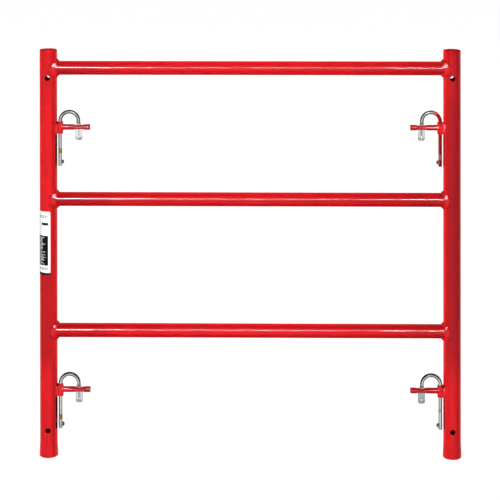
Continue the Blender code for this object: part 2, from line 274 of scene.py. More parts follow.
def pin_hole_cutter(height, side):
    """A drill through one wall of a post, flaring where it meets the outer face."""

    def ring(share, depth, flat=None):
        points = []
        for x, up in circle(PIN_HOLE_RADIUS + PIN_HOLE_LIP * share, 48):
            out = math.sqrt(POST_RADIUS**2 - x**2) - depth if flat is None else flat
            points.append((x, side * out, height + up))
        return points

    rings = [ring(0.0, 0.0, 0.0)]
    rings += [ring(share, depth) for share, depth in PIN_HOLE_FLARE]
    rings.append(ring(1.0, 0.0, POST_RADIUS * 1.3))
    return skin(rings)


def post():
    def outer(height):
        return POST_RADIUS + FOOT_FLARE * (1 - smoothstep(height, 0, FOOT_FLARE_HEIGHT))

    inner = outer(0) - POST_WALL
    tube = turned(pipe_profile(outer, inner, 0.0, POST_TOP, RIM_ROUNDING), 96)
    drills = []
    for height in (PIN_HOLE_INSET, POST_TOP - PIN_HOLE_INSET):
        drills += [pin_hole_cutter(height, side) for side in (-1, 1)]
    return cut(tube, drills)


def rail(drips):
    """A tube along X coped to both posts, with runs of paint hanging under it at the drips."""
    shares = set(spread(-1.0, 1.0, 40))
    for x in drips:
        shares |= {x / POST_X + step * 0.0022 for step in range(-6, 7)}

    def ring(radius, share, lumpy):
        points = []
        for y, z in circle(radius, 96):
            x = share * (POST_X - math.sqrt((POST_RADIUS - EMBED) ** 2 - y**2))
            hang = 0.0
            if lumpy and z < 0:
                for at in drips:
                    away = ((x - at) / DRIP_LENGTH) ** 2 + (y / DRIP_WIDTH) ** 2
                    hang += DRIP_HANG * math.exp(-away)
            points.append((x, y, z - hang))
        return points

    rings = [ring(RAIL_RADIUS, share, True) for share in sorted(shares)]
    rings += [ring(RAIL_RADIUS - RAIL_WALL, share, False) for share in sorted(shares, reverse=True)]
    return skin(rings, looped=True)


def saddle_weld(main_radius, branch_radius, leg, facets, seed):
    """A rippled fillet ring where a branch along +X meets an upright round piece on Z."""
    outer = main_radius - EMBED
    branch = branch_radius - EMBED
    ripples = round(math.tau * (branch_radius + leg / 2) / RIPPLE_PITCH)
    rings = []
    for step in range(facets):
        turn = math.tau * step / facets
        side, rise = math.cos(turn), math.sin(turn)
        root_angle = math.asin(branch * side / outer)
        wander = uneven((side * 2, rise * 2, seed), 1.0, 1.0)
        reach = leg * (1.0 + 0.10 * wander) + EMBED
        ripple = 0.5 - 0.5 * math.cos(ripples * turn + 1.5 * wander)

        def on_upright(distance):
            angle = root_angle + distance * side / outer
            height = (branch + distance) * rise
            return Vector((outer * math.cos(angle), outer * math.sin(angle), height))

        root = on_upright(0.0)
        toe = on_upright(reach)
        branch_toe = root + Vector((reach, 0, 0))
        outward = ((toe + branch_toe) / 2 - root).normalized()
        ring = [root, on_upright(reach / 2)]
        for share in spread(0.0, 1.0, 8):
            crown = math.sin(math.pi * share)
            swell = leg * (0.03 + 0.045 * ripple + 0.02 * wander) * crown
            ring.append(toe.lerp(branch_toe, share) + outward * swell)
        rings.append(ring)
    return skin(rings, looped=True)


def sleeve(seed):
    """The short tube that guides the hook, with a softly uneven outside."""
    half = SLEEVE_HALF_LENGTH
    profile = pipe_profile(lambda height: SLEEVE_RADIUS, SLEEVE_BORE, -half, half, SLEEVE_ROUNDING)
    bm = turned(profile, 64)
    for vert in bm.verts:
        radius = vert.co.xy.length
        if radius > SLEEVE_BORE + SLEEVE_ROUNDING:
            vert.co.xy *= 1 - abs(uneven(vert.co + Vector((seed, 0, 0)), 0.006, 0.05))
    return bm


def sleeve_weld(seed):
    """The bead in the groove between the post at -X and the sleeve, on the sleeve's -Y side."""

    def on_post(degrees):
        turn = math.radians(degrees)
        out = POST_RADIUS - EMBED
        return Vector((out * math.cos(turn) - SLEEVE_OFFSET, -out * math.sin(turn)))

    def on_sleeve(degrees):
        turn = math.radians(degrees)
        out = SLEEVE_RADIUS - EMBED
        return Vector((-out * math.cos(turn), -out * math.sin(turn)))

    half = SLEEVE_HALF_LENGTH - 0.0005
    post_root, post_reach = SLEEVE_WELD_ON_POST
    sleeve_root, sleeve_reach = SLEEVE_WELD_ON_SLEEVE
    rings = []
    for level in spread(-1.0, 1.0, 56):
        height = half * level
        fullness = (1 - abs(level) ** 5) ** 0.5 if abs(level) < 1 else 0.0
        wander = uneven((height, seed, 0), 0.007, 1.0)
        ripple = 0.5 - 0.5 * math.cos(math.tau * height / RIPPLE_PITCH + 1.2 * wander)
        share = 0.35 + 0.65 * fullness * (0.94 + 0.12 * wander)
        post_toe = blend(post_root, post_reach, share)
        sleeve_toe = blend(sleeve_root, sleeve_reach, share)
        outline = [on_post(turn) for turn in spread(post_root, post_toe, 5)]
        first, last = on_post(post_toe), on_sleeve(sleeve_toe)
        for step in range(1, 8):
            bulge = math.sin(math.pi * step / 8) * (0.0005 + 0.0006 * ripple) * fullness
            outline.append(first.lerp(last, step / 8) + Vector((0, -bulge)))
        outline += [on_sleeve(turn) for turn in spread(sleeve_toe, sleeve_root, 5)]
        rings.append([(x, y, height) for x, y in outline])
    return skin(rings)


def slot_cutter():
    """A round-ended slot through the stud from top to bottom."""
    radius = SLOT_WIDTH / 2
    straight = SLOT_LENGTH / 2 - radius
    outline = []
    for end in (1, -1):
        for turn in spread(-math.pi / 2, math.pi / 2, 10):
            along = straight + radius * math.cos(turn)
            outline.append((TAB_X + end * along, end * radius * math.sin(turn)))
    return skin([[(x, y, z) for x, y in outline] for z in (-3 * STUD_RADIUS, 3 * STUD_RADIUS)])


def stud(seed):
    """The brace stud along +X: round at both ends and pressed flat round the slot."""
    inner_start, inner_full = (TAB_X + offset for offset in WAIST_INNER)
    outer_full, outer_end = (TAB_X + offset for offset in WAIST_OUTER)
    places = spread(SLEEVE_RADIUS / 2, inner_start, 8) + spread(inner_start, outer_end, 30)[1:]
    places += spread(outer_end, STUD_END - STUD_CHAMFER, 3)[1:]
    stations = [(x, 0.0) for x in places]
    for turn in spread(0.0, math.pi / 2, 4)[1:]:
        x = STUD_END - STUD_CHAMFER * (1 - math.sin(turn))
        stations.append((x, STUD_CHAMFER * (1 - math.cos(turn))))
    rings = []
    for x, inset in stations:
        flat = smoothstep(x, inner_start, inner_full) - smoothstep(x, outer_full, outer_end)
        half_high = blend(STUD_RADIUS, WAIST_HALF_HEIGHT, flat) - inset
        half_wide = blend(STUD_RADIUS, WAIST_HALF_WIDTH, flat) - inset
        outline = oval(half_wide, half_high, blend(2.0, WAIST_SQUARENESS, flat), 56)
        dent = min(1 + uneven((x, seed, 0), 0.008, 0.012) * (1 - inset / STUD_CHAMFER), 1.0)
        rings.append([(x, across * dent, up * dent) for across, up in outline])
    cope = skin([[(x, y, z) for x, y in circle(SLEEVE_RADIUS - EMBED, 64)] for z in (-0.03, 0.03)])
    return cut(skin(rings), [cope, slot_cutter()])


def rod_stations():
    """The long leg and the bend, as (x, z, heading, half width, half thickness, squareness).

    The heading is the angle of the rod's direction from straight up, towards +X.
    """
    stations = []
    for turn in spread(0.0, math.pi / 2, 4):
        radius = ROD_RADIUS - ROD_END_ROUNDING * (1 - math.sin(turn))
        z = -LEG_DEPTH + ROD_END_ROUNDING * (1 - math.cos(turn))
        stations.append((0, z, 0, radius, radius, 2.0))
    for z in spread(-LEG_DEPTH + ROD_END_ROUNDING, BEND_HEIGHT, 24)[1:]:
        stations.append((0, z, 0, ROD_RADIUS, ROD_RADIUS, 2.0))
    for turn in spread(0.0, math.pi, 44)[1:]:
        x = BEND_RADIUS * (1 - math.cos(turn))
        z = BEND_HEIGHT + BEND_RADIUS * math.sin(turn)
        stations.append((x, z, turn, ROD_RADIUS, ROD_RADIUS, 2.0))
    return stations


def tab_stations():
    """The short leg pressed flat into the tab, with round lower corners, in the same form."""
    stations = []
    for z in spread(0.0140, SPREAD_BY, 22):
        pressed = 1 - smoothstep(z, PRESSED_BY, PRESSED_FROM)
        widened = 1 - smoothstep(z, SPREAD_BY, SPREAD_FROM)
        half_wide = blend(ROD_RADIUS, TAB_WIDTH / 2, widened)
        half_thick = blend(ROD_RADIUS, TAB_THICKNESS / 2, pressed)
        x = 2 * BEND_RADIUS + TAB_OFFSET * widened
        stations.append((x, z, math.pi, half_wide, half_thick, blend(2.0, TAB_SQUARENESS, pressed)))
    low = -TAB_DEPTH + TAB_CORNER
    for z in spread(SPREAD_BY, low, 6)[1:]:
        stations.append((TAB_X, z, math.pi, TAB_WIDTH / 2, TAB_THICKNESS / 2, TAB_SQUARENESS))
    for turn in spread(0.0, math.radians(86), 9)[1:]:
        inset = TAB_CORNER * (1 - math.cos(turn))
        z = low - TAB_CORNER * math.sin(turn)
        thin = TAB_THICKNESS / 2 - 0.0004 * smoothstep(turn, 1.0, 1.5)
        stations.append((TAB_X, z, math.pi, TAB_WIDTH / 2 - inset, thin, TAB_SQUARENESS))
    return stations


def hook(seed):
    """Bent rod: long leg down the sleeve, half-circle bend, short leg pressed to a flat tab."""
    rings = []
    for x, z, heading, half_wide, half_thick, squareness in rod_stations() + tab_stations():
        across = Vector((math.cos(heading), 0, -math.sin(heading)))
        centre = Vector((x, 0, z))
        worn = 1 - abs(uneven((x, z, seed), 0.011, 0.03))
        ring = []
        for u, v in oval(half_wide * worn, half_thick * worn, squareness, 32):
            ring.append(centre + across * u + Vector((0, v, 0)))
        rings.append(ring)
    half = [(TAB_HOLE_RADIUS, 0.00155), (TAB_HOLE_MOUTH, 0.00205), (TAB_HOLE_MOUTH, 0.003)]
    drill = []
    for radius, y in [(radius, -y) for radius, y in reversed(half)] + half:
        drill.append([(TAB_X + u, y, TAB_HOLE_INSET - TAB_DEPTH + v) for u, v in circle(radius, 32)])
    return cut(skin(rings), [skin(drill)])


def hook_stop(seed):
    """Two overlapping spots of weld metal on the inner side of the long leg."""
    low, high = STOP_BOX[0].z, STOP_BOX[1].z
    depth = STOP_BOX[1].x - STOP_BOX[0].x
    inner = ROD_RADIUS - EMBED
    arc = [math.radians(degrees) for degrees in spread(-STOP_HALF_ANGLE, STOP_HALF_ANGLE, 14)]
    reach = depth - 0.0004
    rings = []
    for level in spread(-1.0, 1.0, 26):
        lobes = [1 - ((level - centre) / 0.56) ** 2 for centre in (-0.45, 0.45)]
        fullness = max(0.0, max(lobes)) ** 0.5 * 0.9 + 0.1 * (1 - level * level)
        height = blend(low, high, (level + 1) / 2) - STUD_Z
        points = [(inner, turn) for turn in arc]
        for turn in reversed(arc):
            bulge = math.cos(math.radians(82) * turn / arc[-1]) * fullness
            rough = 1 + uneven((level * 2, turn, seed), 0.9, 0.05)
            points.append((ROD_RADIUS + 0.0002 + min(reach * bulge * rough, reach), turn))
        rings.append([(out * math.cos(turn), out * math.sin(turn), height) for out, turn in points])
    return skin(rings)


def label():
    """A thin, slightly uneven sheet round the post's outer side, with rounded corners."""
    inner = POST_RADIUS + 0.0002
    low, high = LABEL_BOX[0].z, LABEL_BOX[1].z
    half_angle = math.acos(-(LABEL_BOX[1].x + POST_X) / (inner + LABEL_THICKNESS))
    rings = []
    for turn in spread(-half_angle, half_angle, 72):
        edge = (half_angle - abs(turn)) * inner
        short = max(LABEL_CORNER - edge, 0.0)
        inset = LABEL_CORNER - math.sqrt(max(LABEL_CORNER**2 - short**2, 0.0))
        inset = min(inset, LABEL_CORNER * 0.999)
        ring = []
        heights = spread(low + inset, high - inset, 30)
        for face, levels in ((inner, heights), (inner + LABEL_THICKNESS, reversed(heights))):
            for z in levels:
                out = face + abs(uneven((turn * 2, z, 0), 0.02, 0.0002))
                ring.append((-out * math.cos(turn), -out * math.sin(turn), z))
        rings.append(ring)
    return skin(rings)


# ------------------------------------------------------------- materials

class Look:
    """The nodes of one material or world being put together. Its methods give back sockets."""

    def __init__(self, owner, place="Object"):
        self.owner = owner
        owner.use_nodes = True
        self.nodes = owner.node_tree.nodes
        self.links = owner.node_tree.links
        self.point = self.nodes.new("ShaderNodeTexCoord").outputs[place]
        split = self.nodes.new("ShaderNodeSeparateXYZ")
        self.links.new(self.point, split.inputs[0])
        self.x, self.y, self.z = split.outputs

    def feed(self, socket, value):
        if isinstance(value, bpy.types.NodeSocket):
            self.links.new(value, socket)
        elif isinstance(value, tuple) and len(value) == 3 and len(socket.default_value) == 4:
            socket.default_value = (*value, 1.0)
        else:
            socket.default_value = value

    def math(self, operation, *values, clamp=False):
        node = self.nodes.new("ShaderNodeMath")
        node.operation = operation
        node.use_clamp = clamp
        for socket, value in zip(node.inputs, values):
            self.feed(socket, value)
        return node.outputs[0]

    def add(self, first, second):
        return self.math("ADD", first, second)

    def minus(self, first, second):
        return self.math("SUBTRACT", first, second)

    def times(self, first, *others):
        for other in others:
            first = self.math("MULTIPLY", first, other)
        return first

    def over(self, first, second):
        return self.math("DIVIDE", first, second)

    def largest(self, first, second):
        return self.math("MAXIMUM", first, second)

    def size_of(self, value):
        return self.math("ABSOLUTE", value)

    def far(self, first, second):
        """The length of a step that goes first one way and second across it."""
        return self.math("SQRT", self.add(self.times(first, first), self.times(second, second)))

    def reach(self, value, low, high, start=0.0, end=1.0):
        """The value carried smoothly from low..high to start..end, and held beyond them."""
        node = self.nodes.new("ShaderNodeMapRange")
        node.interpolation_type = "SMOOTHSTEP"
        for socket, number in zip(node.inputs, (value, low, high, start, end)):
            self.feed(socket, number)
        return node.outputs[0]

    def curve(self, value, stops):
        """A smooth curve through (value, level) stops."""
        low, high = stops[0][0], stops[-1][0]
        share = self.math("DIVIDE", self.minus(value, low), high - low, clamp=True)
        node = self.nodes.new("ShaderNodeValToRGB")
        node.color_ramp.interpolation = "EASE"
        elements = node.color_ramp.elements
        while len(elements) < len(stops):
            elements.new(0.5)
        for element, (at, level) in zip(elements, stops):
            element.position = (at - low) / (high - low)
            element.color = (level, level, level, 1.0)
        self.links.new(share, node.inputs[0])
        return node.outputs[0]

    def noise(self, size, stretch=(1, 1, 1), detail=3.0, seed=0.0):
        """Noise from 0 to 1 whose features have the given size in metres, longer by stretch."""
        mapping = self.nodes.new("ShaderNodeMapping")
        self.links.new(self.point, mapping.inputs["Vector"])
        mapping.inputs["Location"].default_value = (seed, seed, seed)
        mapping.inputs["Scale"].default_value = [1 / (size * longer) for longer in stretch]
        node = self.nodes.new("ShaderNodeTexNoise")
        node.inputs["Scale"].default_value = 1.0
        node.inputs["Detail"].default_value = detail
        self.links.new(mapping.outputs[0], node.inputs["Vector"])
        return node.outputs["Fac"]

    def cloudy(self, start, end, size, *settings, **more):
        """Noise again, but from start to end."""
        return self.reach(self.noise(size, *settings, **more), 0.3, 0.7, start, end)

    def lerp(self, share, first, second):
        """Between two numbers by the share."""
        return self.add(first, self.times(share, self.minus(second, first)))

    def mix(self, share, first, second, clamp=True):
        """Between two colours by the share, or beyond them if clamp is off."""
        node = self.nodes.new("ShaderNodeMix")
        node.data_type = "RGBA"
        node.clamp_factor = clamp
        self.feed(node.inputs[0], share)
        self.feed(node.inputs[6], first)
        self.feed(node.inputs[7], second)
        return node.outputs[2]

    def bump(self, height, depth, under=None):
        node = self.nodes.new("ShaderNodeBump")
        node.inputs["Distance"].default_value = depth
        self.feed(node.inputs["Height"], height)
        if under is not None:
            self.links.new(under, node.inputs["Normal"])
        return node.outputs[0]

    def finish(self, colour, roughness, metallic, normal, specular=0.5):
        shader = self.nodes["Principled BSDF"]
        self.feed(shader.inputs["Base Color"], colour)
        self.feed(shader.inputs["Roughness"], roughness)
        self.feed(shader.inputs["Metallic"], metallic)
        self.feed(shader.inputs["Specular IOR Level"], specular)
        self.links.new(normal, shader.inputs["Normal"])
        return self.owner


def new_look(name):
    return Look(bpy.data.materials.new(name))


RED = (0.645, 0.0075, 0.0110)
DEEP_RED = (0.15, 0.0030, 0.0052)
BARE_STEEL = (0.16, 0.135, 0.12)
RUST = (0.13, 0.045, 0.020)
# near-black for painted shade: in bores, in gaps, and as the painted shadow beside each hook's leg
SHADE_BLACK = (0.020, 0.002, 0.0025)
BRIGHT_ZINC = (0.82, 0.82, 0.81)
GREY_ZINC = (0.66, 0.65, 0.62)
DRAWN_ZINC = (0.30, 0.24, 0.19)
# painted shade grey for a tab's foot
FOOT_SHADE_GREY = (0.30, 0.31, 0.33)
# grey of the stud's painted shadow on a tab
STUD_SHADOW_GREY = (0.16, 0.16, 0.17)
# painted shade along a hook rod's edges: brown, and reddish as a painted reflection of the red posts
EDGE_SHADE_BROWN = (0.085, 0.065, 0.050)
EDGE_SHADE_RED = (0.10, 0.035, 0.028)
GOLD_STAIN = (1.0, 0.50, 0.01)
BROWN_STAIN = (0.22, 0.06, 0.01)
OVERSPRAY = (0.66, 0.010, 0.010)
# overspray darkened as painted shade
SHADED_OVERSPRAY = (0.24, 0.003, 0.004)
DARK_SPATTER = (0.12, 0.11, 0.11)
BRIGHT_SPATTER = (0.62, 0.60, 0.60)
VINYL = (0.90, 0.90, 0.895)
SOILED_VINYL = (0.6, 0.58, 0.54)
INK = (0.004, 0.004, 0.0045)
GREY_INK = (0.30, 0.30, 0.30)
PALE_INK = (0.55, 0.53, 0.50)
PANEL_TINT = (0.62, 0.55, 0.53)
BORDER_TINT = (0.25, 0.30, 0.28)


def enamel(name, level_of, worn_of=None, dark_of=None, run=(1, 1, 10), shine=0.16):
    """Glossy red enamel over steel; shine is how strongly it mirrors.

    level_of gives how light the coat's colour is: random tone, and painted shade on posts and rails.
    worn_of gives where it may be chipped, and dark_of where painted shade makes it near-black, as deep
    in a tube's bore. run says which way the coat ran.
    """
    look = new_look(name)
    clouds = look.cloudy(0.93, 1.05, 0.055, detail=4.0)
    streaks = look.cloudy(0.94, 1.04, 0.005, run, seed=3.0)
    level = look.times(clouds, streaks, level_of(look))
    colour = look.mix(level, DEEP_RED, RED, clamp=False)
    specks = look.reach(look.noise(0.0011, detail=1.0, seed=7.0), 0.70, 0.76)
    colour = look.mix(look.times(specks, 0.35), colour, DEEP_RED)
    scuffs = look.noise(0.012, (1, 1, 2.5), detail=6.0, seed=11.0)
    roughness = look.reach(scuffs, 0.35, 0.75, 0.06, 0.14)
    height = look.noise(0.0028, detail=2.0, seed=5.0)
    normal = look.bump(height, 0.00004)
    if worn_of:
        chips = look.noise(0.0045, detail=5.0, seed=17.0)
        worn = look.reach(look.times(worn_of(look), chips), 0.50, 0.54)
        metal = look.mix(look.reach(look.noise(0.003, seed=23.0), 0.4, 0.6), BARE_STEEL, RUST)
        colour = look.mix(worn, colour, metal)
        roughness = look.add(roughness, look.times(worn, 0.4))
        normal = look.bump(look.minus(1.0, worn), 0.00012, normal)
    # painted shade: near-black and less glossy where dark_of says
    if dark_of:
        dark = dark_of(look)
        colour = look.mix(dark, colour, SHADE_BLACK)
        roughness = look.add(roughness, look.times(dark, 0.6))
        shine = look.times(look.minus(1.0, dark), shine)
    return look.finish(colour, roughness, 0.0, normal, shine)


def across_post(look, side):
    """-1 at a post's left edge and 1 at its right edge."""
    return look.over(look.minus(look.x, side * POST_X), POST_RADIUS)


def turned_across(look, across, radius, degrees):
    """The same over a round piece of that radius that is looked at from some degrees aside."""
    turn = math.radians(degrees)
    deep = look.over(look.y, radius)
    return look.add(look.times(across, math.cos(turn)), look.times(deep, math.sin(turn)))


# How far aside the painted shade bands lie: the angle from which the camera sees each piece, in degrees.
POST_BANDS_ASIDE = {-1: 7.3, 1: -5.7}
RAIL_BANDS_ASIDE = {"top_rail": 10.8, "middle_rail": 14.8, "bottom_rail": 18.7}

# Painted shade on each post: how light the coat is from its left edge to its right one, in a lighter
# and a darker set of bands, and how much the darker set holds at each height up the post.
POST_SHADE_BANDS = {
    -1: (
        [(-1, 1.4), (-0.85, 1.3), (-0.72, 0.93), (-0.6, 1.0), (-0.4, 0.86), (-0.14, 0.88), (0.05, 0.92),
         (0.2, 0.84), (0.43, 0.75), (0.55, 0.49), (0.66, 0.66), (0.78, 1.24), (1, 1.05)],
        [(-1, 1.5), (-0.85, 1.17), (-0.73, 0.32), (-0.6, 0.84), (-0.49, 0.54), (-0.2, 0.48), (0.05, 0.50),
         (0.3, 0.59), (0.43, 0.64), (0.56, 0.93), (0.66, 0.78), (0.8, 1.15), (1, 1.6)],
        [(0, 0.1), (0.08, 0.0), (0.2, 0.0), (0.27, 1), (0.46, 1), (0.5, 0.1), (0.6, 0), (0.885, 0),
         (0.905, 0.45), (1.03, 0.35)],
    ),
    1: (
        [(-1, 0.9), (-0.87, 1.05), (-0.76, 1.42), (-0.64, 0.97), (-0.4, 0.90), (-0.07, 0.94), (0.15, 0.84),
         (0.38, 0.81), (0.62, 0.57), (0.73, 0.61), (0.84, 1.02), (1, 1.6)],
        [(-1, 1.6), (-0.76, 1.22), (-0.64, 0.70), (-0.5, 0.52), (-0.3, 0.38), (-0.07, 0.37), (0.2, 0.25),
         (0.5, 0.31), (0.61, 0.37), (0.73, 0.09), (0.85, 0.96), (1, 1.05)],
        [(0, 0.2), (0.05, 0.1), (0.18, 0.1), (0.27, 0.85), (0.5, 1.05), (0.7, 1.0), (0.9, 0.95),
         (0.93, 0.75), (1.03, 0.6)],
    ),
}


def post_paint(side):
    """The coat on one post, with painted shade in bands up and across it and at the rails' weld toes."""
    name = "left" if side < 0 else "right"
    hook_ends = [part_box(f"{level}_{name}_hook")[0].z for level in ("upper", "lower")]

    def level(look):
        across = across_post(look, side)
        aside = turned_across(look, across, POST_RADIUS, POST_BANDS_ASIDE[side])
        # painted shade bands across and up the post
        full, thin, where = (look.curve(value, stops) for value, stops in
                             zip((aside, aside, look.z), POST_SHADE_BANDS[side]))
        # painted shade: a darker line on the post round each rail's weld toe
        toe_shade = 1.0
        for rail_name in ("top_rail", "middle_rail", "bottom_rail"):
            up = look.minus(look.z, middle_of(rail_name).z)
            away = look.far(up, look.y)
            edge = look.size_of(look.minus(away, RAIL_RADIUS + RAIL_WELD_LEG))
            facing = look.reach(look.times(across, -side), 0.0, 0.25)
            edge = look.largest(look.reach(edge, 0.0006, 0.0022), look.minus(1.0, facing))
            toe_shade = look.times(toe_shade, look.reach(edge, 0.0, 1.0, 0.55, 1.0))
        return look.times(look.lerp(where, full, thin), toe_shade)

    def worn(look):
        foot = look.reach(look.z, 0.006, 0.0)
        rim = look.reach(look.z, POST_TOP - 0.004, POST_TOP)
        return look.add(look.times(look.largest(foot, rim), 0.62), 0.10)

    def dark(look):
        """Painted shade: near-black in the bore away from its ends, and a painted shadow on the inner edge
        beside each hook's long leg.
        """
        out = look.far(across_post(look, side), look.over(look.y, POST_RADIUS))
        bore = look.reach(look.times(out, out), 0.82, 0.76)
        from_end = look.math("MINIMUM", look.z, look.minus(POST_TOP, look.z))
        bare = look.times(bore, look.reach(from_end, 0.010, 0.045))
        ragged = look.reach(look.noise(0.004, (1, 1, 3), detail=4.0, seed=37.0), 0.3, 0.45)
        edge = 0.82 if side < 0 else 0.87
        facing = look.reach(look.times(across_post(look, side), -side), edge, edge + 0.06)
        facing = look.times(facing, look.reach(look.y, 0.2 * POST_RADIUS, -0.2 * POST_RADIUS))
        # the painted shadow beside each hook's long leg, from the leg's lower end upwards
        for end in hook_ends:
            above = look.reach(look.z, end - 0.002, end + 0.004)
            below = look.reach(look.z, end + 0.086, end + 0.078)
            bare = look.largest(bare, look.times(above, below, facing, ragged))
        return bare

    return enamel(f"post_enamel_{name}", level, worn, dark, (1, 1, 14))


# Painted shade the same way up each rail, from its underside to its top, and then along all of them,
# darker towards the posts.
RAIL_SHADE_BANDS = {
    "top_rail": [(-1, 1.1), (-0.81, 0.66), (-0.69, 0.77), (-0.5, 0.57), (-0.23, 0.72), (-0.05, 0.78),
                 (0.13, 0.58), (0.34, 0.95), (0.46, 0.70), (0.57, 0.81), (0.75, 1.25), (1, 1.7)],
    "middle_rail": [(-1, 1.5), (-0.81, 0.50), (-0.69, 0.43), (-0.58, 0.86), (-0.4, 0.57), (-0.1, 0.65),
                    (0, 0.58), (0.25, 0.72), (0.46, 0.83), (0.57, 0.69), (0.75, 1.25), (1, 1.4)],
    "bottom_rail": [(-1, 1.2), (-0.81, 0.52), (-0.58, 0.80), (-0.35, 0.89), (-0.12, 0.73), (0.2, 0.92),
                    (0.4, 0.76), (0.57, 0.54), (0.78, 1.28), (1, 1.2)],
}
RAIL_SHADE_ALONG = [(-0.5, 0.62), (-0.42, 0.74), (-0.38, 0.80), (-0.33, 1.0), (0, 1.05), (0.22, 1.0),
                   (0.29, 0.87), (0.38, 0.82), (0.43, 0.66), (0.5, 0.6)]


def rail_paint(name, height):
    """The coat on one rail, with painted shade: bands along it, and darker near the posts."""

    def level(look):
        up = look.over(look.minus(look.z, height), RAIL_RADIUS)
        aside = turned_across(look, up, RAIL_RADIUS, RAIL_BANDS_ASIDE[name])
        return look.times(look.curve(aside, RAIL_SHADE_BANDS[name]), look.curve(look.x, RAIL_SHADE_ALONG))

    return enamel(f"{name}_enamel", level, run=(16, 1, 1))


def stud_paint():
    """A thin coat that is worn at the stud's end and round the slot."""

    def level(look):
        return look.cloudy(0.32, 0.55, 0.02, detail=1.0, seed=2.0)

    def worn(look):
        inward = look.minus(POST_X, look.size_of(look.x))
        end = look.reach(inward, SLEEVE_OFFSET + STUD_END - 0.003, SLEEVE_OFFSET + STUD_END)
        slot = look.size_of(look.minus(inward, SLEEVE_OFFSET + TAB_X))
        near_slot = look.reach(slot, 0.014, 0.009, 0.0, 0.35)
        return look.add(look.largest(end, near_slot), 0.15)

    return enamel("stud_enamel", level, worn, run=(8, 1, 1), shine=0.2)


def weld_paint(name="weld_enamel", dark_of=None):
    def level(look):
        return look.cloudy(0.66, 0.90, 0.006, detail=2.0, seed=9.0)

    return enamel(name, level, None, dark_of, (1, 1, 2), 0.35)


def sleeve_weld_paint():
    """Weld paint with near-black painted shade at the bead's upper end, except at the upper right lock."""

    def dark(look):
        # near-black painted shade at the upper end of each bead
        bare = 0.0
        for level in ("upper", "lower"):
            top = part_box(f"{level}_left_sleeve")[1].z
            below = look.reach(look.z, top + 0.01, top + 0.005)
            above = look.reach(look.z, top - 0.0042, top - 0.0024)
            bare = look.largest(bare, look.times(above, below))
        upper_right = look.times(look.reach(look.x, -0.1, 0.1), look.reach(look.z, 0.4, 0.6))
        return look.times(bare, look.minus(1.0, upper_right))

    return weld_paint("sleeve_weld_enamel", dark)


def sleeve_paint():
    def level(look):
        return look.cloudy(0.74, 0.94, 0.012, detail=2.0, seed=4.0)

    def worn(look):
        return look.reach(look.noise(0.01, seed=31.0), 0.45, 0.7, 0.2, 0.8)

    return enamel("sleeve_enamel", level, worn, run=(1, 1, 4))


